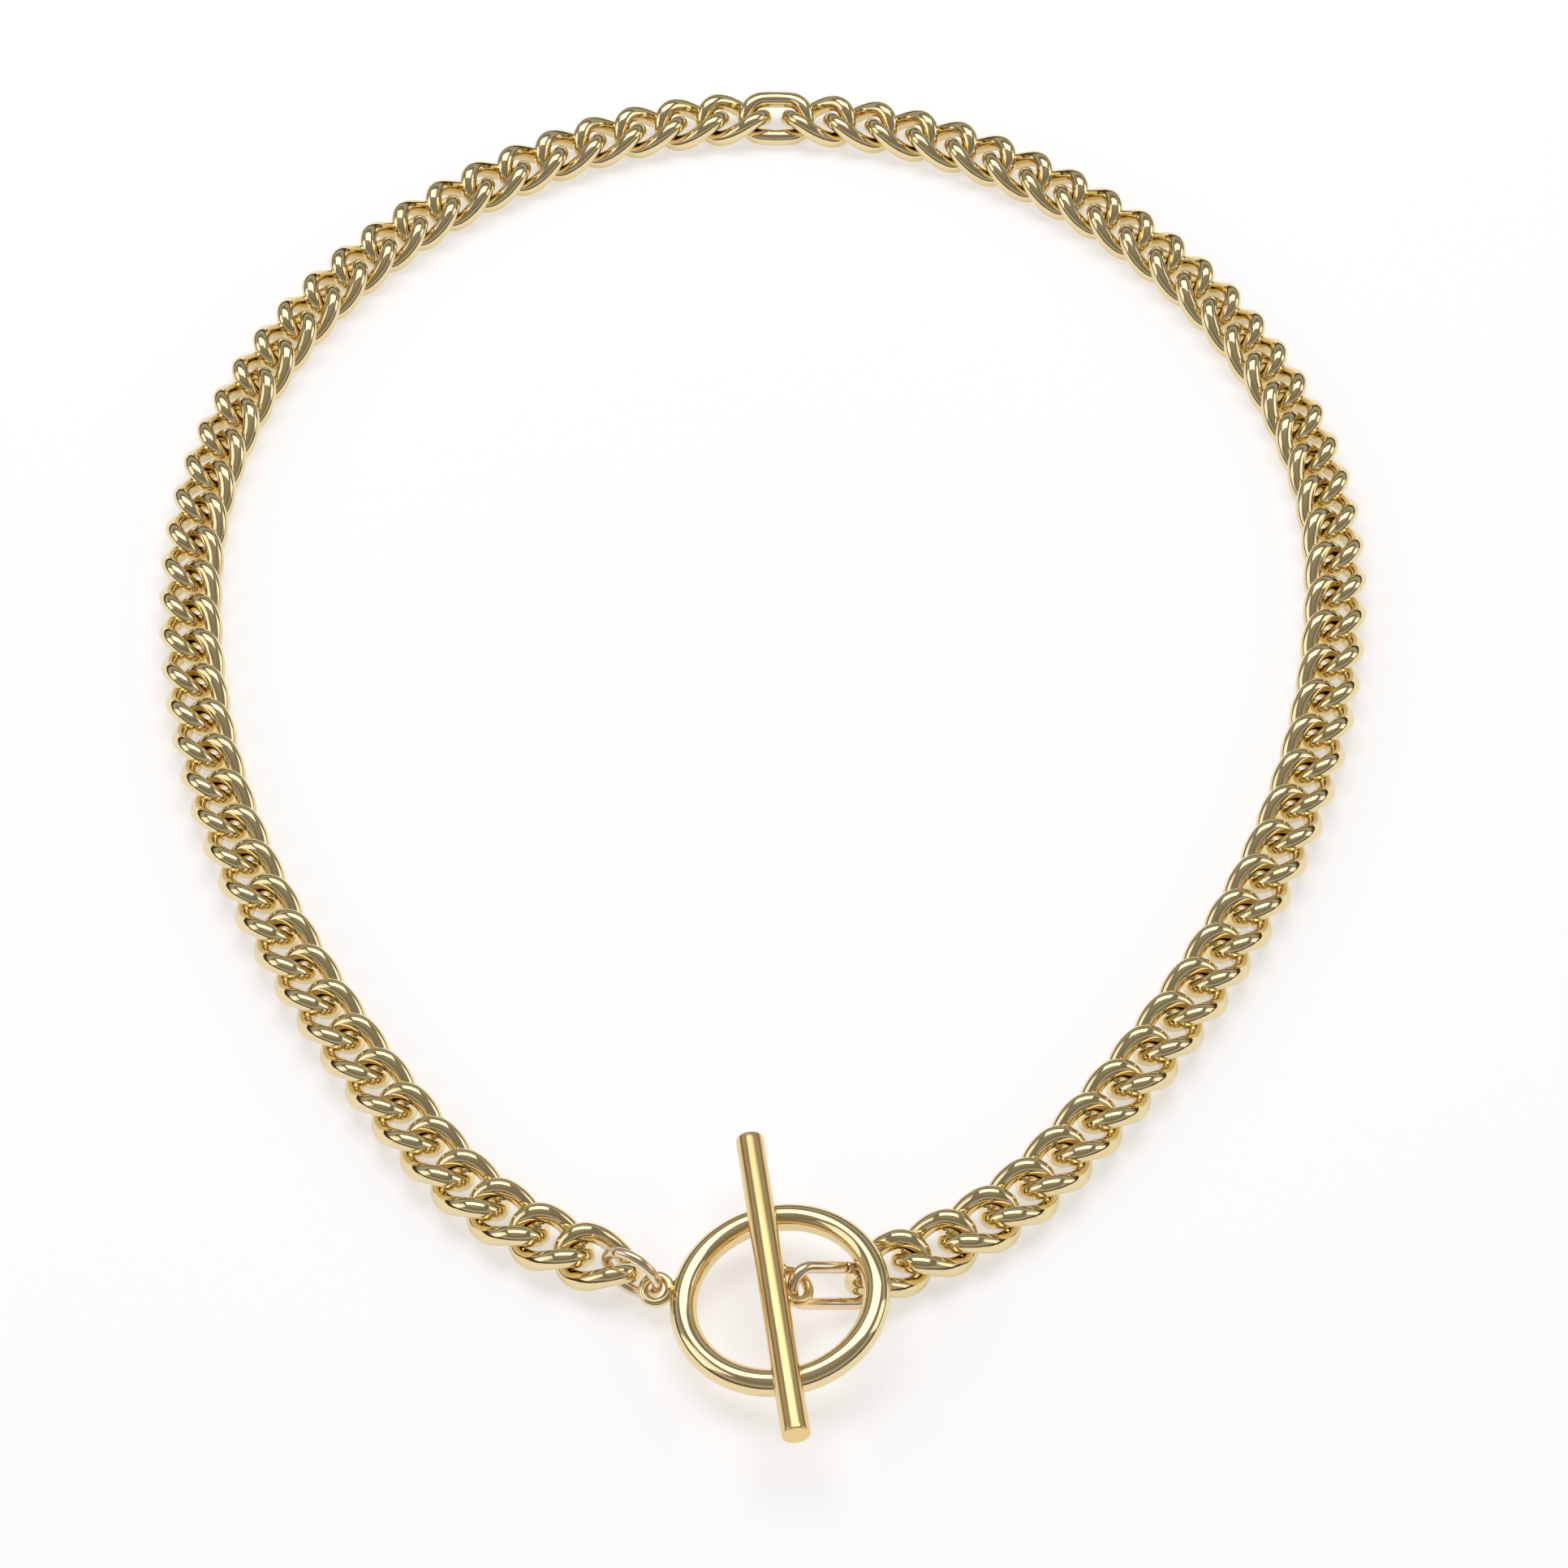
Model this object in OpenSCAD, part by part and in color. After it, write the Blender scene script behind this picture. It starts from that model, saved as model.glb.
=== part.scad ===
// Chain necklace: a choker of twisted curb links, closed at the front by a toggle ring and bar.
// The chain lies flat on the plane z = 0. +Y points from the clasp to the front link, and +X is to the
// right. The origin is the middle of the footprint. Both halves of the chain are mirror images.

/* [Chain links] */
// Number of links in each half of the chain
half_links = 42; // [35:1:50]
// Diameter of the link wire
link_wire_d = 1.7; // [1.4:0.05:2]
// Outer length of one link
link_length = 8.15; // [7.6:0.05:9.8]
// Outer width of one link
link_width = 6.1; // [5.6:0.05:7.4]
// Centre-line radius of a link's rounded end, as a share of half the centre-line width
end_roundness = 0.955; // [0.9:0.005:0.98]
// Lean of a link's ends out of flat
link_twist = 45; // [40:1:50]
// Free play between two neighbouring links
link_play = 0.25; // [0.15:0.05:0.4]

/* [Toggle ring] */
// Outer diameter of the toggle ring
ring_outer_d = 18.7; // [15:0.1:24]
// Diameter of the toggle ring's wire
ring_wire_d = 2.3; // [1.8:0.1:2.8]
// Outer diameter of the eye on the ring's rim
eye_outer_d = 3.2; // [3:0.1:4]
// Diameter of the eye's wire
eye_wire_d = 0.86; // [0.7:0.02:1]

/* [Toggle bar] */
// Length of the toggle bar
bar_length = 30; // [24:0.5:38]
// Diameter of the toggle bar
bar_d = 2.4; // [1.8:0.1:3]
// Distance that the bar's loop stands out from the bar
loop_reach = 2.6; // [2.4:0.1:3.2]
// Diameter of the loop's wire
loop_wire_d = 0.9; // [0.7:0.05:1.1]

/* [Jump rings] */
// Outer diameter of the round jump ring
ring_jump_outer_d = 5.92; // [5.6:0.02:7]
// Diameter of the round jump ring's wire
ring_jump_wire_d = 0.92; // [0.7:0.02:1]
// Diameter of the oval jump ring's wire
bar_jump_wire_d = 1.05; // [0.8:0.05:1.2]
// Outer width of the oval jump ring, whose length follows from what it joins
bar_jump_width = 4.21; // [4.16:0.01:4.4]

/* [Hidden] */
// Turn from link to link: each row gives the share of the half chain it ends at, and degrees per link.
// The rows run from the front link round to the clasp, and one common factor closes the outline.
OUTLINE = [[0.12, 5.75], [0.5, 4.02], [0.74, 2.5], [0.905, 1.6], [1, 8]];
// Arcs of wire in a curb link and in the front link
link_arcs = 6;
front_arcs = 8;
// Each half's chain stops this far outside the toggle ring's centre line
tip_spread = 0.2;
// Share of the full lean that the middle of the front link keeps
front_lean = 0.5;
// Every joint between two runs of wire is a ball a little larger than the wire
ball_swell = 0.02;
// Each run of wire stops this far short of the middle of its ball
wire_trim = 0.08;
// Air between pieces of the clasp that lie on each other
rest_gap = 0.06;
// Extra turn of the last right link, which leans in towards the bar
last_right_turn = -10.7;
// Where the round jump ring's wire passes through the last left link: in from its tip, and off its middle
hook_in = 1.07;
hook_side = 0.525;
// Stretch of the round jump ring from the link to the eye, as a share of its diameter, and its direction
chord_share = 0.926;
chord_heading = -29;
chord_rise = 6.5;
// Place of the eye round the toggle ring, the eye's roll about its own neck, and its depth in the rim
eye_bearing = 170.7;
eye_roll = -14.3;
eye_sink = 0.25;
// Air between the toggle ring's high side and the chain below it
ring_over_gap = 0.17;
// Place of the bar's middle to the right of the ring's, and the bar's turn in the ring's plane
bar_shift = -0.3;
bar_turn = 8.7;
// Chamfer on the edges of the bar's ends
bar_edge = 0.3;
// Width of the bar's loop along the bar, its dip below the ring's plane, and where the oval passes it
loop_width = 3.95;
loop_dip = 33.3;
loop_grip = 0.07;
// Where the oval jump ring passes through the last right link, in from the inside of its tip
link_grip = 0.6;
// The oval's reach past both places, its yaw and pitch off the line between them, and its roll
oval_over = 0.255;
oval_yaw = 3.2;
oval_pitch = -5.4;
oval_roll = -56.2;
// The oval's shift along its own width and square to its plane
oval_shift = 0.3;
oval_lift = 0.04;
// Bow of the oval's long sides
oval_bow = 0.03;
// Diameter of the eye's neck
neck_d = 1;
gold = "#e9c46a";
pale_gold = "#ecd9a8";
curve = 180;
wire_sides = 24;

half_gap = (ring_outer_d - ring_wire_d) / 2 + tip_spread;
pitch = link_length - 2 * link_wire_d - link_play;
half_l = (link_length - link_wire_d) / 2;
half_w = (link_width - link_wire_d) / 2;
end_r = half_w * end_roundness;
end_x = half_l - end_r;
side_r = (end_x * end_x + half_w * half_w - end_r * end_r) / (2 * (half_w - end_r));
end_span = atan2(side_r - half_w, end_x);

function unit(v) = v / norm(v);
function number2(k) = k < 10 ? str("0", k) : str(k);
function sum(v) = v * [for (x = v) 1];

// Point of a link's flat four-arc oval where its outward normal is at angle f, from -90 to 270
function oval_point(f) =
    abs(f) <= end_span ? [end_x + end_r * cos(f), end_r * sin(f)]
    : abs(f - 180) <= end_span ? [-end_x + end_r * cos(f), end_r * sin(f)]
    : f > 0 && f < 180 ? [side_r * cos(f), half_w - side_r + side_r * sin(f)]
    : [side_r * cos(f), side_r - half_w + side_r * sin(f)];

// Lean of the oval at u, from -1 at one tip to 1 at the other: a curb link twists, the front link rocks
function lean(u, front) =
    front ? link_twist * (front_lean + (1 - front_lean) * u * u)
    : -link_twist * (u + sin(90 * u)) / 2;
function link_point(f, front) =
    let (p = oval_point(f > 270 ? f - 360 : f), t = lean(p.x / half_l, front))
    [p.x, p.y * cos(t), p.y * sin(t)];

rest_z = max([for (f = [0 : 2 : 90]) abs(link_point(f, false).z)]) + link_wire_d / 2 + ball_swell / 2;

// Turn of link k before the common factor, and the turns added up to it
function plain_turn(k) = [for (row = OUTLINE) if (k <= row[0] * half_links + 0.5) row[1]][0];
plain_turns = [
    for (k = 1, t = plain_turn(1); k <= half_links; k = k + 1, t = t + plain_turn(min(k, half_links))) t
];
// Where the last link's tip comes to for a common factor s
function tip_x(s) =
    let (h = [for (t = plain_turns) cos(180 + s * t)])
    -pitch / 2 + pitch * (sum(h) - h[half_links - 1]) + (pitch + link_length) / 2 * h[half_links - 1];
function close_outline(low, high, steps) =
    let (s = (low + high) / 2, wide = tip_x(s) < -half_gap)
    steps == 0 ? s : close_outline(wide ? s : low, wide ? high : s, steps - 1);
turn_factor = close_outline(0.6, 1.4, 40);
headings = [for (t = plain_turns) 180 + turn_factor * t];
function along(h) = [cos(h), sin(h), 0];
// contacts[k - 1] is where link k hangs in the one before it
contacts = [
    for (
        k = 0, p = [-pitch / 2, 0, rest_z];
        k <= half_links;
        p = k < half_links ? p + pitch * along(headings[k]) : p, k = k + 1
    ) p
];

// Left jump ring, eye and toggle ring: the jump ring stands up through the last left link and the eye
ring_r = (ring_outer_d - ring_wire_d) / 2;
eye_r = (eye_outer_d - eye_wire_d) / 2;
ring_jump_r = (ring_jump_outer_d - ring_jump_wire_d) / 2;
last_left = headings[half_links - 1];
left_tip = contacts[half_links - 1] + (pitch + link_length) / 2 * along(last_left);
left_hook = left_tip - (link_wire_d + hook_in) * along(last_left) - hook_side * along(last_left + 90);
chord = 2 * ring_jump_r * chord_share
    * [cos(chord_rise) * cos(chord_heading), cos(chord_rise) * sin(chord_heading), sin(chord_rise)];
eye_mid = left_hook + chord;
chord_across = unit(cross(chord, [0, 0, 1]));
chord_up = unit(cross(chord_across, chord));
ring_jump_mid = left_hook + chord / 2 + sqrt(pow(ring_jump_r, 2) - chord * chord / 4) * chord_up;

// The toggle ring hangs from the eye and lies on the last right link, so it tilts about the Y axis
eye_arm = ring_r + (ring_wire_d + eye_outer_d) / 2 - eye_sink;
ring_right_z = 2 * rest_z + ring_wire_d / 2 + ring_over_gap;
ring_tilt = asin((ring_right_z - eye_mid.z) / (ring_r - eye_arm * cos(eye_bearing)));
function tilted(v) =
    let (c = cos(ring_tilt), s = sin(ring_tilt))
    [v.x * c - v.z * s, v.y, v.x * s + v.z * c];
ring_mid = eye_mid - eye_arm * tilted(along(eye_bearing));

// The bar lies on the ring, and its loop stands out to the right and down into the ring
bar_mid = ring_mid + tilted([bar_shift, 0, (ring_wire_d + bar_d) / 2 + rest_gap]);
loop_r = (loop_width - loop_wire_d) / 2;
loop_leg = bar_d / 2 + loop_reach - loop_wire_d / 2 - loop_r;
loop_hole = (bar_d + loop_reach - loop_wire_d) / 2 + loop_grip;
loop_eye = bar_mid + tilted(loop_hole * (cos(loop_dip) * along(bar_turn) - [0, 0, sin(loop_dip)]));

// The oval jump ring reaches from the bar's loop, under the toggle ring, to the last right link
last_right = last_left + last_right_turn;
right_reach = (pitch + link_length) / 2 - link_wire_d - link_grip;
mirrored_hook = contacts[half_links - 1] + right_reach * along(last_right);
right_hook = [-mirrored_hook.x, mirrored_hook.y, mirrored_hook.z];
oval_span = right_hook - loop_eye;
span_level = unit(cross(oval_span, [0, 0, 1]));
span_up = unit(cross(span_level, oval_span));
oval_long = unit(unit(oval_span) + tan(oval_yaw) * span_level + tan(oval_pitch) * span_up);
oval_level = unit(cross(oval_long, [0, 0, 1]));
oval_side = cos(oval_roll) * oval_level + sin(oval_roll) * cross(oval_level, oval_long);
oval_mid = (right_hook + loop_eye) / 2 + oval_shift * oval_side + oval_lift * cross(oval_long, oval_side);
oval_half = norm(oval_span) / 2 + oval_over;
oval_r = (bar_jump_width - bar_jump_wire_d) / 2;

// The front link's outer side and the bar's near end are the ends of the footprint
top_y = half_w * cos(link_twist * front_lean) + link_wire_d / 2;
bottom_y = bar_mid.y - bar_length / 2 * cos(bar_turn) - bar_d / 2 * sin(bar_turn);
front_y = -(top_y + bottom_y) / 2;

// Arc of wire from p through q to s
module wire_arc(p, q, s, d) {
    a = q - p;
    b = s - p;
    k = cross(a, b);
    o = p + (cross(k, a) * (b * b) + cross(b, k) * (a * a)) / (2 * (k * k));
    r = norm(p - o);
    x = (p - o) / r;
    z = unit(k);
    y = cross(z, x);
    swept = 2 * asin(norm(b) / (2 * r));
    trim = wire_trim / r * 180 / PI;
    multmatrix([[x.x, y.x, z.x, o.x], [x.y, y.y, z.y, o.y], [x.z, y.z, z.z, o.z]])
        rotate([0, 0, trim])
            rotate_extrude(angle = swept - 2 * trim, start = 0, $fn = curve)
                translate([r, 0])
                    circle(d / 2, $fn = wire_sides);
}

// Ball that joins two runs of wire, turned where its seam would meet the wire
module wire_ball(p, d, turn = 0) {
    translate(p)
        rotate(turn)
            sphere(d / 2 + ball_swell, $fn = 2 * wire_sides);
}

// Link about its own centre, with its tips on the X axis
module link(arcs, front = false) {
    step = 360 / arcs;
    for (i = [0 : arcs - 1]) {
        f = (i - 0.5) * step;
        p = link_point(f, front);
        wire_arc(p, link_point(f + step / 2, front), link_point(f + step, front), link_wire_d);
        wire_ball(p, link_wire_d, front ? f : 0);
    }
}

// Link k of the left half, turned about its own contact by extra degrees
module left_link(k, extra = 0) {
    h = headings[k - 1] + extra;
    translate(contacts[k - 1] + pitch / 2 * along(h))
        rotate([0, 0, h])
            link(link_arcs);
}

module front_link() {
    color(gold)
        translate([0, front_y, rest_z])
            link(front_arcs, front = true);
}

module link_pair(k) {
    color(gold)
        translate([0, front_y, 0]) {
            left_link(k);
            mirror([1, 0, 0])
                left_link(k, k == half_links ? last_right_turn : 0);
        }
}

// Children in the toggle ring's plane, with its middle at the origin
module on_ring_plane() {
    translate([0, front_y, 0])
        translate(ring_mid)
            rotate([0, -ring_tilt, 0])
                children();
}

module wire_ring(r, d) {
    rotate_extrude($fn = curve)
        translate([r, 0])
            circle(d / 2, $fn = 2 * wire_sides);
}

module toggle_ring() {
    neck = eye_arm - ring_r - eye_r;
    color(gold)
        on_ring_plane() {
            wire_ring(ring_r, ring_wire_d);
            rotate([0, 0, eye_bearing])
                rotate([eye_roll, 0, 0]) {
                    translate([eye_arm, 0, 0])
                        wire_ring(eye_r, eye_wire_d);
                    translate([ring_r, 0, 0])
                        rotate([0, 90, 0])
                            cylinder(h = neck, d = neck_d, $fn = wire_sides);
                }
        }
}

module ring_jump_ring() {
    x = unit(chord);
    y = chord_up;
    z = cross(x, y);
    color(pale_gold)
        translate([0, front_y, 0])
            translate(ring_jump_mid)
                multmatrix([[x.x, y.x, z.x, 0], [x.y, y.y, z.y, 0], [x.z, y.z, z.z, 0]])
                    wire_ring(ring_jump_r, ring_jump_wire_d);
}

// The bar runs along its own Y axis, and its loop stands out along X
module toggle_bar() {
    half = bar_length / 2;
    r = bar_d / 2;
    color(gold)
        translate([0, front_y, 0])
            translate(bar_mid)
                rotate([0, -ring_tilt, 0])
                    rotate([0, 0, bar_turn]) {
                        rotate([90, 0, 0])
                            rotate_extrude($fn = curve)
                                polygon([
                                    [0, -half], [r - bar_edge, -half], [r, bar_edge - half],
                                    [r, half - bar_edge], [r - bar_edge, half], [0, half]
                                ]);
                        rotate([0, loop_dip, 0])
                            bar_loop();
                    }
}

// Half turn of wire about the origin, open to the left, and trimmed at both ends
module wire_bend(r, d) {
    trim = wire_trim / r * 180 / PI;
    rotate([0, 0, trim - 90])
        rotate_extrude(angle = 180 - 2 * trim, start = 0, $fn = curve)
            translate([r, 0])
                circle(d / 2, $fn = wire_sides);
}

// Straight wire along X at a distance y from the middle
module wire_rod(from, to, y, d) {
    translate([from, y, 0])
        rotate([0, 90, 0])
            cylinder(h = to - from, d = d, $fn = wire_sides);
}

module bar_loop() {
    for (y = [-loop_r, loop_r]) {
        wire_rod(0, loop_leg - wire_trim, y, loop_wire_d);
        wire_ball([loop_leg, y, 0], loop_wire_d);
    }
    translate([loop_leg, 0, 0])
        wire_bend(loop_r, loop_wire_d);
}

// Oval ring about its middle, with its long way along X and its long sides a little bowed
module oval_ring(half, r, d) {
    q = r * sqrt(0.5);
    for (s = [-1, 1]) {
        wire_arc([s * half, -s * r, 0], [s * (half + q), -s * q, 0], [s * (half + r), 0, 0], d);
        wire_arc([s * (half + r), 0, 0], [s * (half + q), s * q, 0], [s * half, s * r, 0], d);
        wire_arc([s * half, s * r, 0], [0, s * (r + oval_bow), 0], [-s * half, s * r, 0], d);
        wire_ball([s * half, r, 0], d, 90);
        wire_ball([s * half, -r, 0], d, 90);
        wire_ball([s * (half + r), 0, 0], d);
    }
}

module bar_jump_ring() {
    x = oval_long;
    y = oval_side;
    z = cross(x, y);
    color(pale_gold)
        translate([0, front_y, 0])
            translate(oval_mid)
                multmatrix([[x.x, y.x, z.x, 0], [x.y, y.y, z.y, 0], [x.z, y.z, z.z, 0]])
                    oval_ring(oval_half - oval_r, oval_r, bar_jump_wire_d);
}

front_link();
for (k = [1 : half_links])
    link_pair(k);
toggle_ring();
ring_jump_ring();
toggle_bar();
bar_jump_ring();
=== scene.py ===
"""A curb chain necklace, closed with a toggle ring and bar, lying on a pale table."""
import math
import bpy
import numpy as np
from mathutils import Matrix, Vector


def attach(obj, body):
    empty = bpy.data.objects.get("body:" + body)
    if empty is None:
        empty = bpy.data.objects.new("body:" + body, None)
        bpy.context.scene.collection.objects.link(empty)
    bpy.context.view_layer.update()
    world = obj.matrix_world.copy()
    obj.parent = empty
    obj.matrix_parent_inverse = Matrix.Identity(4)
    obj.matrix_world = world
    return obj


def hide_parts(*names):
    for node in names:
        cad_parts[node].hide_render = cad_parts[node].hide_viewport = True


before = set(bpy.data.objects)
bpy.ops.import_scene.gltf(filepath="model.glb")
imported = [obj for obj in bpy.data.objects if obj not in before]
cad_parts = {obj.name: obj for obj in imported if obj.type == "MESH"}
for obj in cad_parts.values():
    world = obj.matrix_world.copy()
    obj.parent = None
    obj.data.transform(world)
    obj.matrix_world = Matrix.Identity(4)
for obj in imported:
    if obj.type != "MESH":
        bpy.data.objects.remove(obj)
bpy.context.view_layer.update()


# Curb links. Each is a piece of drawn brass wire, bent to an oval, soldered shut near its tip, twisted an
# eighth of a turn each way, then gold plated and tumbled bright. Each hangs in the link before it.
# The two halves of the chain are mirror images.
MM = 0.001
wire_d = 1.7
link_length = 8.15
link_width = 6.1
link_play = 0.25
twist = 45
end_roundness = 0.955
pitch = link_length - 2 * wire_d - link_play
half_l = (link_length - wire_d) / 2
half_w = (link_width - wire_d) / 2
end_r = half_w * end_roundness
end_x = half_l - end_r
side_r = (end_x ** 2 + half_w ** 2 - end_r ** 2) / (2 * (half_w - end_r))
end_span = math.atan2(side_r - half_w, end_x)
rest_z = 1.89815
front_y = 80.9337
# Heading of each left link from the front to the clasp, and how much further the last right one turns
runs = ((5, 5.75), (16, 4.02), (10, 2.5), (7, 1.6), (4, 8.0))
closing = 0.993495
last_turn = -10.7


def oval_wire(front, sides=168):
    """Centre line of one link about its middle, in mm, with its tips on the X axis."""
    points = []
    for i in range(sides):
        f = -math.pi / 2 + 2 * math.pi * i / sides
        if abs(f) <= end_span:
            x, y = end_x + end_r * math.cos(f), end_r * math.sin(f)
        elif abs(f - math.pi) <= end_span:
            x, y = -end_x + end_r * math.cos(f), end_r * math.sin(f)
        else:
            up = 1 if 0 < f < math.pi else -1
            x, y = side_r * math.cos(f), up * (half_w - side_r) + side_r * math.sin(f)
        u = x / half_l
        turn = twist * (0.5 + 0.5 * u * u) if front else -twist * (u + math.sin(math.pi / 2 * u)) / 2
        turn = math.radians(turn)
        points.append((x, y * math.cos(turn), y * math.sin(turn)))
    return np.array(points)


def swept_wire(name, line, radii, closed, sides=24):
    """Round wire along a line in mm. Its UVs run along and around the wire in mm. Open ends are capped."""
    line = np.asarray(line, float)
    count = len(line)
    radii = np.broadcast_to(np.asarray(radii, float), (count,))
    ahead = np.roll(line, -1, 0) - np.roll(line, 1, 0)
    if not closed:
        ahead[0] = line[1] - line[0]
        ahead[-1] = line[-1] - line[-2]
    ahead /= np.linalg.norm(ahead, axis=1)[:, None]
    side = np.cross(ahead[0], (0.3, 0.2, 0.93))
    side /= np.linalg.norm(side)
    frames = []
    for t in ahead:
        side = side - t * side.dot(t)
        side = side / np.linalg.norm(side)
        frames.append((side, np.cross(t, side)))
    slip = 0.0
    if closed:
        last = frames[-1][0] - ahead[0] * frames[-1][0].dot(ahead[0])
        slip = math.atan2(last.dot(frames[0][1]), last.dot(frames[0][0]))
    steps = np.linalg.norm(np.roll(line, -1, 0) - line, axis=1)
    run = np.concatenate(([0.0], np.cumsum(steps)))
    verts = []
    for i in range(count):
        a = -slip * i / count + 2 * math.pi * np.arange(sides) / sides
        s, b = frames[i]
        verts.append(line[i] + radii[i] * (np.cos(a)[:, None] * s + np.sin(a)[:, None] * b))
    verts = np.concatenate(verts) * MM
    faces, uvs = [], []
    around = 2 * math.pi * float(radii.mean()) / sides
    for i in range(count if closed else count - 1):
        j = (i + 1) % count
        for k in range(sides):
            m = (k + 1) % sides
            faces.append((i * sides + k, i * sides + m, j * sides + m, j * sides + k))
            uvs += [(run[i], k * around), (run[i], (k + 1) * around),
                    (run[i + 1], (k + 1) * around), (run[i + 1], k * around)]
    if not closed:
        for end in (0, count - 1):
            ring = [end * sides + k for k in range(sides)]
            faces.append(ring[::-1] if end == 0 else ring)
            uvs += [(0.0, k * around) for k in range(sides)]
    mesh = bpy.data.meshes.new(name)
    mesh.from_pydata([tuple(v) for v in verts], [], faces)
    layer = mesh.uv_layers.new(name="wire_mm")
    layer.data.foreach_set("uv", np.array(uvs, np.float32).ravel())
    mesh.polygons.foreach_set("use_smooth", [len(f) == 4 for f in faces])
    mesh.update()
    return mesh


def linear(code, alpha=1.0):
    """sRGB hex to the linear colour that the shaders use."""
    parts = [int(code[i:i + 2], 16) / 255 for i in (1, 3, 5)]
    return [c / 12.92 if c <= 0.04045 else ((c + 0.055) / 1.055) ** 2.4 for c in parts] + [alpha]


def add_node(tree, kind, links=(), **settings):
    """Adds a node, sets its properties or sockets by name, and links (source socket, own socket) pairs."""
    node = tree.nodes.new(kind)
    for key, value in settings.items():
        name = key.replace("_", " ").title()
        if hasattr(node, key):
            setattr(node, key, value)
        else:
            node.inputs[name].default_value = value
    for source, socket in links:
        tree.links.new(source, node.inputs[socket])
    return node


def new_material(name):
    """An empty node material and its tree."""
    material = bpy.data.materials.new(name)
    material.use_nodes = True
    material.node_tree.nodes.clear()
    return material, material.node_tree


# Bright gold plate on drawn wire, tumbled until it mirrors. The plate's tone drifts a little from place to
# place, drawing lines run along the wire about 0.12 mm apart, and tumbling leaves fine random scratches.
bright_wire, tree = new_material("tumbled_bright_gold_plate")
uv = add_node(tree, "ShaderNodeUVMap", uv_map="wire_mm")
place = add_node(tree, "ShaderNodeTexCoord")
lines_at = add_node(tree, "ShaderNodeMapping", [(uv.outputs["UV"], "Vector")], Scale=(0.25, 1 / 0.12, 1))
lines = add_node(tree, "ShaderNodeTexNoise", [(lines_at.outputs[0], "Vector")], Scale=1.0, Detail=3.0)
drift = add_node(tree, "ShaderNodeTexNoise", [(place.outputs["Object"], "Vector")], Scale=1000 / 2.5, Detail=2.0)
scratch_at = add_node(tree, "ShaderNodeMapping", [(uv.outputs["UV"], "Vector")],
                      Rotation=(0, 0, 0.6), Scale=(0.5, 1 / 0.07, 1))
scratch = add_node(tree, "ShaderNodeTexNoise", [(scratch_at.outputs[0], "Vector")], Scale=1.0, Detail=1.0)
tone = add_node(tree, "ShaderNodeMix", [(drift.outputs["Fac"], "Factor")], data_type="RGBA")
tone.inputs["A"].default_value = linear("#e6d2a0")
tone.inputs["B"].default_value = linear("#eedcb0")
rough = add_node(tree, "ShaderNodeMapRange", [(scratch.outputs["Fac"], "Value")],
                 From_Min=0.3, From_Max=0.75, To_Min=0.045, To_Max=0.11)
bump_lines = add_node(tree, "ShaderNodeBump", [(lines.outputs["Fac"], "Height")], Strength=0.08, Distance=0.00002)
bump = add_node(tree, "ShaderNodeBump", [(scratch.outputs["Fac"], "Height"), (bump_lines.outputs[0], "Normal")],
                Strength=0.05, Distance=0.00002)
shade = add_node(tree, "ShaderNodeBsdfPrincipled",
                 [(tone.outputs["Result"], "Base Color"), (rough.outputs[0], "Roughness"),
                  (bump.outputs[0], "Normal")], Metallic=1.0)
add_node(tree, "ShaderNodeOutputMaterial", [(shade.outputs[0], "Surface")])


def wire_with_solder(line, at, radius):
    """Wire radius along a closed line, with a low bead of solder 0.5 mm long at one place."""
    steps = np.linalg.norm(np.roll(line, -1, 0) - line, axis=1)
    run = np.concatenate(([0.0], np.cumsum(steps)[:-1]))
    away = np.abs(run - at * steps.sum())
    return radius * (1 + 0.02 * np.exp(-(away / 0.22) ** 2) - 0.014 * np.exp(-(away / 0.05) ** 2))


def place_piece(name, mesh, material, body, node, matrix=None):
    """Puts a mesh in the scene on its body, in place of its CAD node."""
    if not mesh.materials:
        mesh.materials.append(material)
    piece = bpy.data.objects.new(name, mesh)
    bpy.context.scene.collection.objects.link(piece)
    if matrix is not None:
        piece.matrix_world = matrix
    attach(piece, body)
    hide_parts(node)
    return piece


curb_line = oval_wire(False)
left_mesh = swept_wire("left_curb_link", curb_line, wire_with_solder(curb_line, 0.185, wire_d / 2), True)
right_line = curb_line[::-1] * (-1, 1, 1)
right_mesh = swept_wire("right_curb_link", right_line, wire_with_solder(right_line, 0.815, wire_d / 2), True)
front_line = oval_wire(True)
front_mesh = swept_wire("front_curb_link", front_line, wire_with_solder(front_line, 0.2, wire_d / 2), True)
place_piece("front_link_wire", front_mesh, bright_wire, "front", "front_link",
            Matrix.Translation(Vector((0, front_y, rest_z)) * MM))
heading = 180.0
spot = Vector((-pitch / 2, front_y, rest_z))
row = 0
for count, turn in runs:
    for _ in range(count):
        row += 1
        heading += turn * closing
        for side, mesh, extra in ((1, left_mesh, 0), (-1, right_mesh, last_turn if row == 42 else 0)):
            h = math.radians(heading + extra)
            mid = spot + pitch / 2 * Vector((math.cos(h), math.sin(h), 0))
            where = Matrix.Translation(Vector((side * mid.x, mid.y, mid.z)) * MM)
            name = f"{'left' if side == 1 else 'right'}_link_{row:02d}"
            place_piece(name, mesh, bright_wire, f"row_{row:02d}", f"link_pair_{row:02d}",
                        where @ Matrix.Rotation(side * h, 4, "Z"))
        h = math.radians(heading)
        spot += pitch * Vector((math.cos(h), math.sin(h), 0))


# Round jump ring. A turn of softer, paler plated wire that joins the last left link to the ring's eye.
# It is closed with two pliers, so a fine cut is left where its ends meet.
jump_mid = Vector((-9.26596, front_y - 146.845, 3.09795))
jump_long = Vector((4.02346, -2.23024, 0.524131)).normalized()
jump_up = Vector((-0.0990098, 0.054882, 0.993572))
jump_r = 2.5
jump_wire_d = 0.92
jump_cut = 0.07


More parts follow.
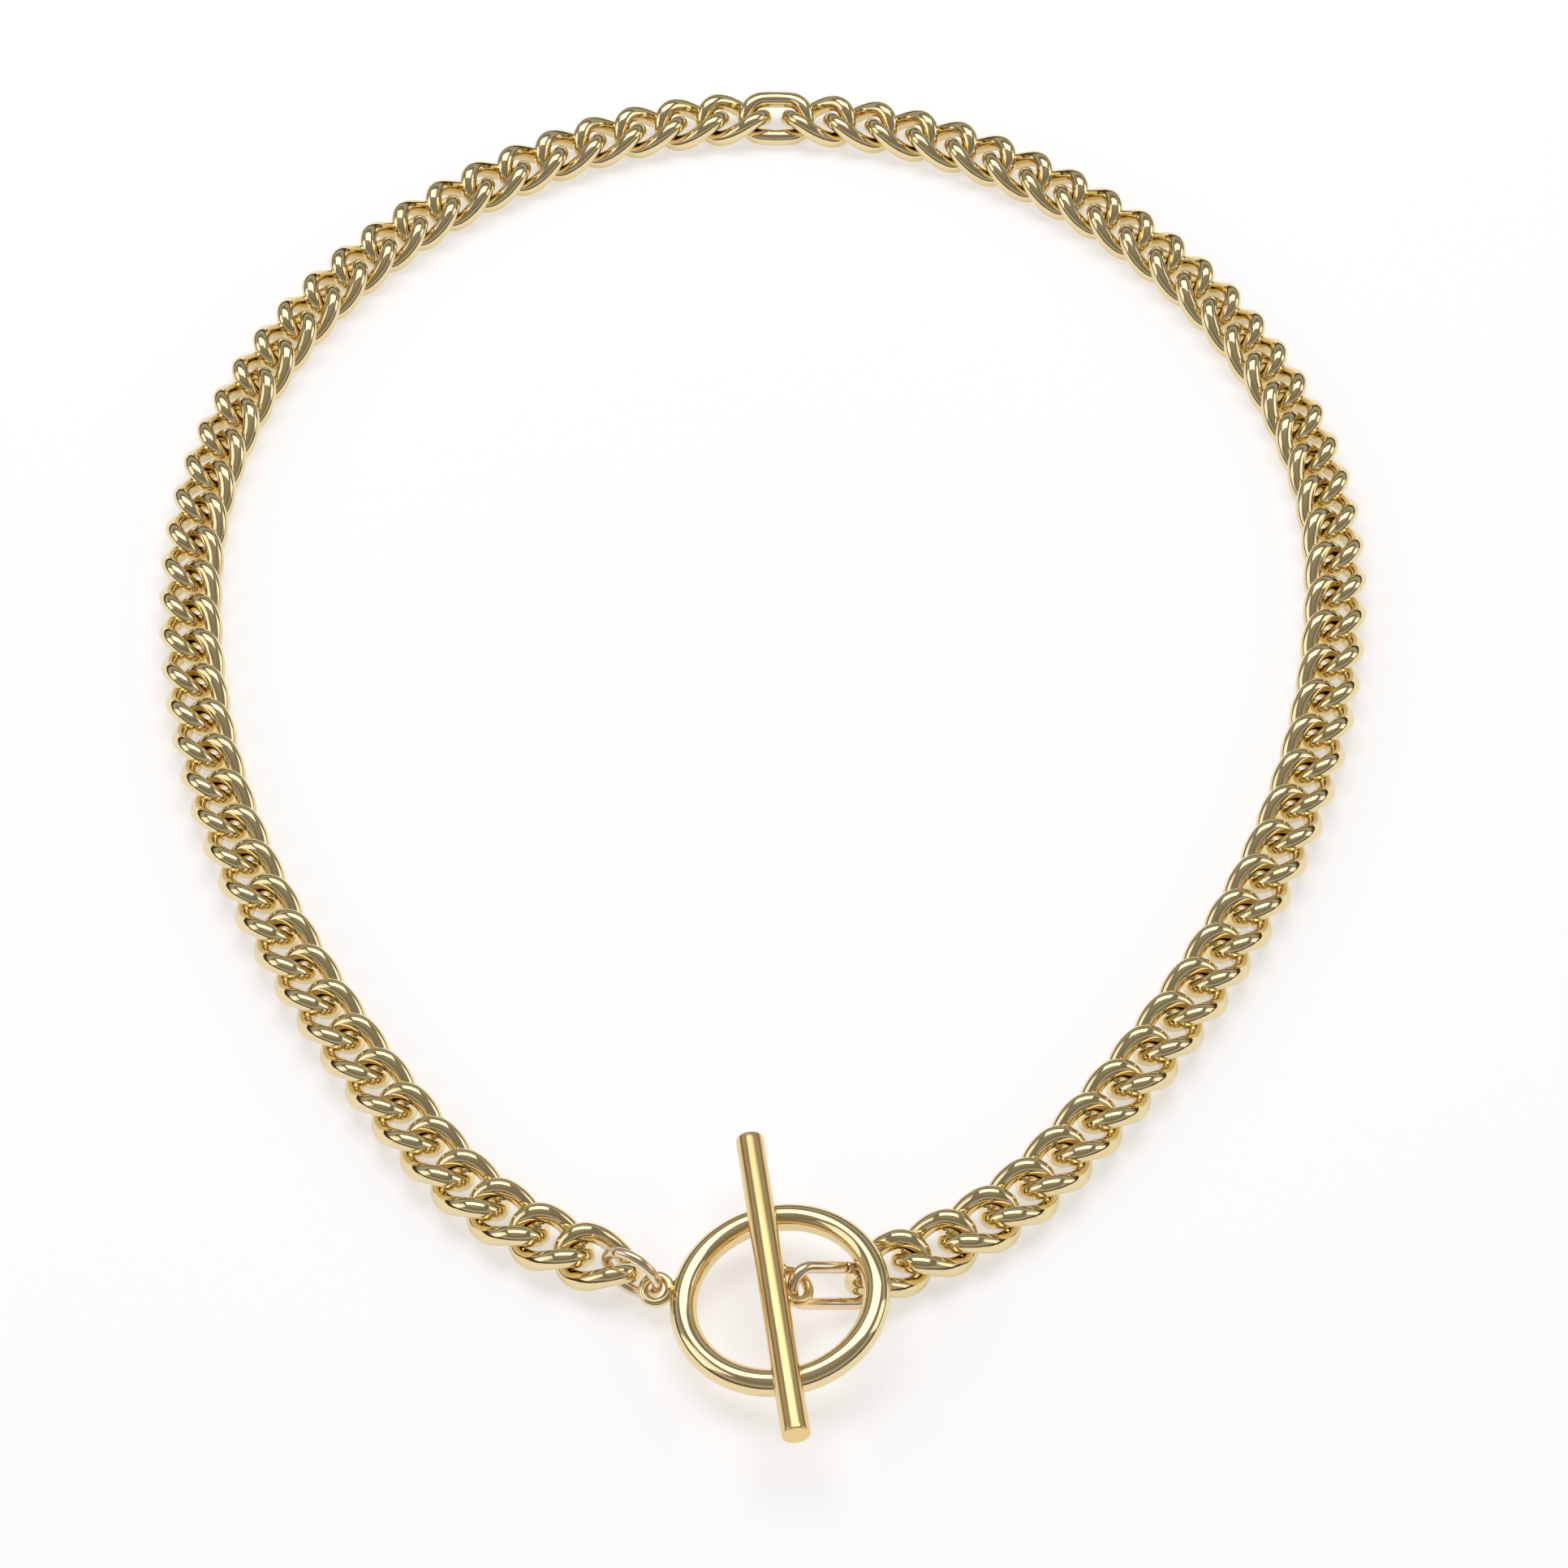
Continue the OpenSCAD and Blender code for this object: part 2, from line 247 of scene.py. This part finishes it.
def cut_wire(line, gap):
    """Opens a closed line by a gap in mm at its first point."""
    steps = np.linalg.norm(np.diff(np.vstack((line, line[:1])), axis=0), axis=1)
    run = np.concatenate(([0.0], np.cumsum(steps)))
    looped = np.vstack((line, line[:1]))
    at = np.linspace(gap / 2, run[-1] - gap / 2, len(line))
    return np.stack([np.interp(at, run, looped[:, i]) for i in range(3)], 1)


def rounded_ends(radius, count):
    """Wire radius along an open line whose cut ends are a little burred over."""
    radii = np.full(count, radius)
    radii[0] = radii[-1] = radius * 0.86
    radii[1] = radii[-2] = radius * 0.985
    return radii


# Pale gold plate on annealed wire. It is softer, so the pliers and wear leave it a little duller and its
# tone a little pinker than the links, with scratches across it about 0.1 mm wide.
pale_wire, tree = new_material("annealed_pale_gold_plate")
uv = add_node(tree, "ShaderNodeUVMap", uv_map="wire_mm")
place = add_node(tree, "ShaderNodeTexCoord")
drift = add_node(tree, "ShaderNodeTexNoise", [(place.outputs["Object"], "Vector")], Scale=1000 / 1.2, Detail=3.0)
marks_at = add_node(tree, "ShaderNodeMapping", [(uv.outputs["UV"], "Vector")], Scale=(1 / 0.1, 0.6, 1))
marks = add_node(tree, "ShaderNodeTexNoise", [(marks_at.outputs[0], "Vector")], Scale=1.0, Detail=2.0)
tone = add_node(tree, "ShaderNodeMix", [(drift.outputs["Fac"], "Factor")], data_type="RGBA")
tone.inputs["A"].default_value = linear("#ead4b2")
tone.inputs["B"].default_value = linear("#f3e0c4")
rough = add_node(tree, "ShaderNodeMapRange", [(marks.outputs["Fac"], "Value")],
                 From_Min=0.3, From_Max=0.7, To_Min=0.13, To_Max=0.26)
bump = add_node(tree, "ShaderNodeBump", [(marks.outputs["Fac"], "Height")], Strength=0.12, Distance=0.00002)
shade = add_node(tree, "ShaderNodeBsdfPrincipled",
                 [(tone.outputs["Result"], "Base Color"), (rough.outputs[0], "Roughness"),
                  (bump.outputs[0], "Normal")], Metallic=1.0)
add_node(tree, "ShaderNodeOutputMaterial", [(shade.outputs[0], "Surface")])


def turned(long, side, mid):
    """Matrix that takes X to long and Y to side, with its origin at mid, in metres."""
    up = long.cross(side)
    return Matrix(((long.x, side.x, up.x, mid.x * MM), (long.y, side.y, up.y, mid.y * MM),
                   (long.z, side.z, up.z, mid.z * MM), (0, 0, 0, 1)))


def round_line(radius, sides, start=0.0):
    """Closed circle in the XY plane."""
    a = start + 2 * math.pi * np.arange(sides) / sides
    return np.stack([radius * np.cos(a), radius * np.sin(a), 0 * a], 1)


jump_line = cut_wire(round_line(jump_r, 180, math.radians(118)), jump_cut)
jump_mesh = swept_wire("round_jump_wire", jump_line, rounded_ends(jump_wire_d / 2, 180), False)
place_piece("round_jump_ring", jump_mesh, pale_wire, "ring_jump_ring", "ring_jump_ring",
            turned(jump_long, jump_up, jump_mid))


# Toggle ring. A thick round wire ring with a small wire eye soldered to its rim on a short neck.
# It is cast, plated and buffed on a wheel, which leaves faint lines around it.
ring_mid = Vector((3.28912, front_y - 149.741, 3.9387))
ring_tilt = math.radians(8.25675)
ring_r = 8.2
ring_wire_d = 2.3
eye_arm = 10.7
eye_r = 1.17
eye_wire_d = 0.86
eye_bearing = math.radians(170.7)
eye_roll = math.radians(-14.3)

# Buffed gold plate on a casting. Wheel lines 0.15 mm apart run around the ring, and the plate is even.
buffed_ring, tree = new_material("wheel_buffed_gold_plate")
uv = add_node(tree, "ShaderNodeUVMap", uv_map="wire_mm")
place = add_node(tree, "ShaderNodeTexCoord")
drift = add_node(tree, "ShaderNodeTexNoise", [(place.outputs["Object"], "Vector")], Scale=1000 / 4, Detail=2.0)
wheel_at = add_node(tree, "ShaderNodeMapping", [(uv.outputs["UV"], "Vector")], Scale=(0.12, 1 / 0.15, 1))
wheel = add_node(tree, "ShaderNodeTexNoise", [(wheel_at.outputs[0], "Vector")], Scale=1.0, Detail=4.0)
tone = add_node(tree, "ShaderNodeMix", [(drift.outputs["Fac"], "Factor")], data_type="RGBA")
tone.inputs["A"].default_value = linear("#e8d4a2")
tone.inputs["B"].default_value = linear("#f0deb2")
rough = add_node(tree, "ShaderNodeMapRange", [(wheel.outputs["Fac"], "Value")],
                 From_Min=0.3, From_Max=0.7, To_Min=0.07, To_Max=0.13)
bump = add_node(tree, "ShaderNodeBump", [(wheel.outputs["Fac"], "Height")], Strength=0.1, Distance=0.00002)
shade = add_node(tree, "ShaderNodeBsdfPrincipled",
                 [(tone.outputs["Result"], "Base Color"), (rough.outputs[0], "Roughness"),
                  (bump.outputs[0], "Normal")], Metallic=1.0)
add_node(tree, "ShaderNodeOutputMaterial", [(shade.outputs[0], "Surface")])


def joined(name, parts):
    """One mesh from (mesh, matrix) parts that are soldered together."""
    verts, faces, uvs, smooth = [], [], [], []
    for mesh, matrix in parts:
        start = len(verts)
        verts += [tuple(matrix @ v.co) for v in mesh.vertices]
        faces += [tuple(start + v for v in p.vertices) for p in mesh.polygons]
        smooth += [p.use_smooth for p in mesh.polygons]
        uvs += [tuple(d.uv) for d in mesh.uv_layers[0].data]
        bpy.data.meshes.remove(mesh)
    whole = bpy.data.meshes.new(name)
    whole.from_pydata(verts, [], faces)
    layer = whole.uv_layers.new(name="wire_mm")
    layer.data.foreach_set("uv", np.array(uvs, np.float32).ravel())
    whole.polygons.foreach_set("use_smooth", smooth)
    whole.update()
    return whole


ring_place = Matrix.Translation(ring_mid * MM) @ Matrix.Rotation(-ring_tilt, 4, "Y")
eye_turn = Matrix.Rotation(eye_bearing, 4, "Z") @ Matrix.Rotation(eye_roll, 4, "X")
rim = swept_wire("rim", round_line(ring_r, 288), ring_wire_d / 2, True, 44)
eye = swept_wire("eye", round_line(eye_r, 96), eye_wire_d / 2, True, 24)
neck_line = np.stack([np.linspace(ring_r, eye_arm - eye_r + 0.1, 24), np.zeros(24), np.zeros(24)], 1)
neck_wide = 0.42 + 0.5 * np.exp(-((neck_line[:, 0] - ring_r - 1.05) / 0.16) ** 2)
neck = swept_wire("neck", neck_line, neck_wide, False, 28)
ring_mesh = joined("toggle_ring_casting", [
    (rim, Matrix.Identity(4)),
    (eye, eye_turn @ Matrix.Translation((eye_arm * MM, 0, 0))),
    (neck, eye_turn),
])
place_piece("toggle_ring_with_eye", ring_mesh, buffed_ring, "toggle_ring", "toggle_ring", ring_place)


# Toggle bar. A cut length of round rod with its edges broken, and a wire loop soldered to its middle.
# It passes through the ring lengthways and then lies across it, with the loop below.
bar_mid = Vector((2.64613, front_y - 149.741, 6.28063))
bar_turn = math.radians(8.7)
bar_length = 30
bar_d = 2.4
loop_dip = math.radians(33.3)
loop_r = 1.525
loop_leg = 1.825
loop_wire_d = 0.9

# Satin gold plate on turned rod. Fine brushing runs along the bar, about 0.1 mm apart.
satin_rod, tree = new_material("satin_gold_plate_rod")
uv = add_node(tree, "ShaderNodeUVMap", uv_map="wire_mm")
place = add_node(tree, "ShaderNodeTexCoord")
drift = add_node(tree, "ShaderNodeTexNoise", [(place.outputs["Object"], "Vector")], Scale=1000 / 3, Detail=2.0)
brush_at = add_node(tree, "ShaderNodeMapping", [(uv.outputs["UV"], "Vector")], Scale=(0.2, 1 / 0.1, 1))
brush = add_node(tree, "ShaderNodeTexNoise", [(brush_at.outputs[0], "Vector")], Scale=1.0, Detail=4.0)
tone = add_node(tree, "ShaderNodeMix", [(drift.outputs["Fac"], "Factor")], data_type="RGBA")
tone.inputs["A"].default_value = linear("#e9c88c")
tone.inputs["B"].default_value = linear("#f0d49a")
rough = add_node(tree, "ShaderNodeMapRange", [(brush.outputs["Fac"], "Value")],
                 From_Min=0.3, From_Max=0.7, To_Min=0.17, To_Max=0.26)
bump = add_node(tree, "ShaderNodeBump", [(brush.outputs["Fac"], "Height")], Strength=0.15, Distance=0.00002)
shade = add_node(tree, "ShaderNodeBsdfPrincipled",
                 [(tone.outputs["Result"], "Base Color"), (rough.outputs[0], "Roughness"),
                  (bump.outputs[0], "Normal")], Metallic=1.0)
add_node(tree, "ShaderNodeOutputMaterial", [(shade.outputs[0], "Surface")])

edge = 0.14
bend = np.linspace(0, math.pi / 2, 6)
end_y = np.concatenate((edge - edge * np.cos(bend), [0.6]))
end_wide = np.concatenate((bar_d / 2 - edge + edge * np.sin(bend), [bar_d / 2]))
middle = np.linspace(-bar_length / 2 + 1.2, bar_length / 2 - 1.2, 40)
along = np.concatenate((end_y - bar_length / 2, middle, (bar_length / 2 - end_y)[::-1]))
wide = np.concatenate((end_wide, np.full(40, bar_d / 2), end_wide[::-1]))
rod = swept_wire("rod", np.stack([0 * along, along, 0 * along], 1), wide, False, 64)
a = np.linspace(-math.pi / 2, math.pi / 2, 64)
legs = np.linspace(0.9, loop_leg, 10)[:-1]
loop_line = np.concatenate((
    np.stack([legs, 0 * legs - loop_r, 0 * legs], 1),
    np.stack([loop_leg + loop_r * np.cos(a), loop_r * np.sin(a), 0 * a], 1),
    np.stack([legs[::-1], 0 * legs + loop_r, 0 * legs], 1)))
foot = np.minimum(np.arange(len(loop_line)), np.arange(len(loop_line))[::-1]) * 0.1
loop_wide = loop_wire_d / 2 + 0.16 * np.exp(-((foot - 0.3) / 0.2) ** 2)
loop = swept_wire("loop", loop_line, loop_wide, False, 24)
bar_mesh = joined("toggle_bar_rod", [(rod, Matrix.Identity(4)), (loop, Matrix.Rotation(loop_dip, 4, "Y"))])
bar_place = (Matrix.Translation(bar_mid * MM) @ Matrix.Rotation(-ring_tilt, 4, "Y")
             @ Matrix.Rotation(bar_turn, 4, "Z"))
place_piece("toggle_bar_with_loop", bar_mesh, satin_rod, "toggle_bar", "toggle_bar", bar_place)


# Oval jump ring. The same pale wire as the round one, squeezed longer, with its cut on a straight side.
# It joins the bar's loop to the last right link and passes under the toggle ring.
oval_mid = Vector((7.64083, front_y - 147.979, 3.40711))
oval_long = Vector((0.780198, 0.349242, -0.518962))
oval_side = Vector((-0.166329, -0.683941, -0.710323))
oval_half = 4.23861 - 1.58
oval_r = 1.58
oval_wire_d = 1.05
oval_cut = 0.08
a = np.linspace(-math.pi / 2, math.pi / 2, 60)
straight = np.linspace(-oval_half, oval_half, 40)[1:-1]
right_end = np.stack([oval_half + oval_r * np.cos(a), oval_r * np.sin(a), 0 * a], 1)
oval_line = np.concatenate((
    np.stack([straight[26:], 0 * straight[26:] - oval_r, 0 * straight[26:]], 1), right_end,
    np.stack([straight[::-1], 0 * straight + oval_r, 0 * straight], 1), -right_end,
    np.stack([straight[:26], 0 * straight[:26] - oval_r, 0 * straight[:26]], 1)))
oval_line = cut_wire(oval_line, oval_cut)
oval_mesh = swept_wire("oval_jump_wire", oval_line, rounded_ends(oval_wire_d / 2, len(oval_line)), False)
place_piece("oval_jump_ring", oval_mesh, pale_wire, "bar_jump_ring", "bar_jump_ring",
            turned(oval_long, oval_side, oval_mid))


# Table, light and camera. The necklace lies on a matt white sheet in a light tent: a broad panel above and
# behind, one at the left, and a sheet that glows softly, so that shadows stay pale.
white_sheet, tree = new_material("matt_white_sheet")
place = add_node(tree, "ShaderNodeTexCoord")
fibre = add_node(tree, "ShaderNodeTexNoise", [(place.outputs["Object"], "Vector")], Scale=1000 / 1.5, Detail=2.0)
rough = add_node(tree, "ShaderNodeMapRange", [(fibre.outputs["Fac"], "Value")], To_Min=0.85, To_Max=0.95)
shade = add_node(tree, "ShaderNodeBsdfPrincipled", [(rough.outputs[0], "Roughness")],
                 Base_Color=linear("#e6e6ea"), Emission_Color=linear("#ffffff"), Emission_Strength=0.47)
add_node(tree, "ShaderNodeOutputMaterial", [(shade.outputs[0], "Surface")])
sheet_mesh = bpy.data.meshes.new("table_sheet")
sheet_half = 12
corners = [(x * sheet_half, y * sheet_half, 0) for x, y in ((-1, -1), (1, -1), (1, 1), (-1, 1))]
sheet_mesh.from_pydata(corners, [], [(0, 1, 2, 3)])
sheet_mesh.materials.append(white_sheet)
table = bpy.data.objects.new("table_sheet", sheet_mesh)
bpy.context.scene.collection.objects.link(table)


def panel(name, spot, aim, size, power, tint):
    """A soft light panel at spot, aimed at a point, in metres and watts."""
    light = bpy.data.lights.new(name, "AREA")
    light.shape = "RECTANGLE"
    light.size, light.size_y = size
    light.energy = power
    light.color = linear(tint)[:3]
    holder = bpy.data.objects.new(name, light)
    holder.location = spot
    holder.rotation_euler = (Vector(aim) - Vector(spot)).to_track_quat("-Z", "Y").to_euler()
    bpy.context.scene.collection.objects.link(holder)


panel("overhead_panel", (0, 0.25, 0.75), (0, 0, 0), (0.9, 0.5), 2.4, "#ffffff")
panel("left_panel", (-0.75, -0.1, 0.45), (0, 0, 0), (0.5, 0.6), 0.9, "#ffffff")
panel("right_panel", (0.8, 0.1, 0.35), (0, 0, 0), (0.4, 0.5), 0.6, "#ffffff")

world = bpy.data.worlds.new("light_tent")
bpy.context.scene.world = world
world.use_nodes = True
tree = world.node_tree
tree.nodes.clear()
place = add_node(tree, "ShaderNodeTexCoord")
split = add_node(tree, "ShaderNodeSeparateXYZ", [(place.outputs["Generated"], "Vector")])
tent = add_node(tree, "ShaderNodeValToRGB", [(split.outputs["Z"], "Fac")])
stops = ((0.0, "#64492a"), (0.14, "#64492a"), (0.28, "#f2efe8"), (0.5, "#ffffff"), (0.62, "#b8b1a4"),
         (0.8, "#c4beb3"), (1.0, "#e4e0da"))
while len(tent.color_ramp.elements) < len(stops):
    tent.color_ramp.elements.new(0.5)
for element, (at, code) in zip(tent.color_ramp.elements, stops):
    element.position = at
    element.color = linear(code)
glow = add_node(tree, "ShaderNodeBackground", [(tent.outputs["Color"], "Color")], Strength=0.44)
add_node(tree, "ShaderNodeOutputWorld", [(glow.outputs[0], "Surface")])

aim = Vector((2.513, -9.385, 0)) * MM
elevation = math.radians(50.2)
swing = 0.01874
reach = 405.76 * MM
camera = bpy.data.cameras.new("camera")
camera.lens = 99.97
camera.sensor_width = 36
camera.clip_start = 0.01
camera.clip_end = 20
eye_point = bpy.data.objects.new("camera", camera)
eye_point.location = aim + reach * Vector((math.cos(elevation) * math.sin(swing),
                                           -math.cos(elevation) * math.cos(swing), math.sin(elevation)))
eye_point.rotation_euler = (math.pi / 2 - elevation, 0, swing)
bpy.context.scene.collection.objects.link(eye_point)
bpy.context.scene.camera = eye_point
bpy.context.scene.view_settings.view_transform = "Standard"
bpy.context.scene.view_settings.look = "None"
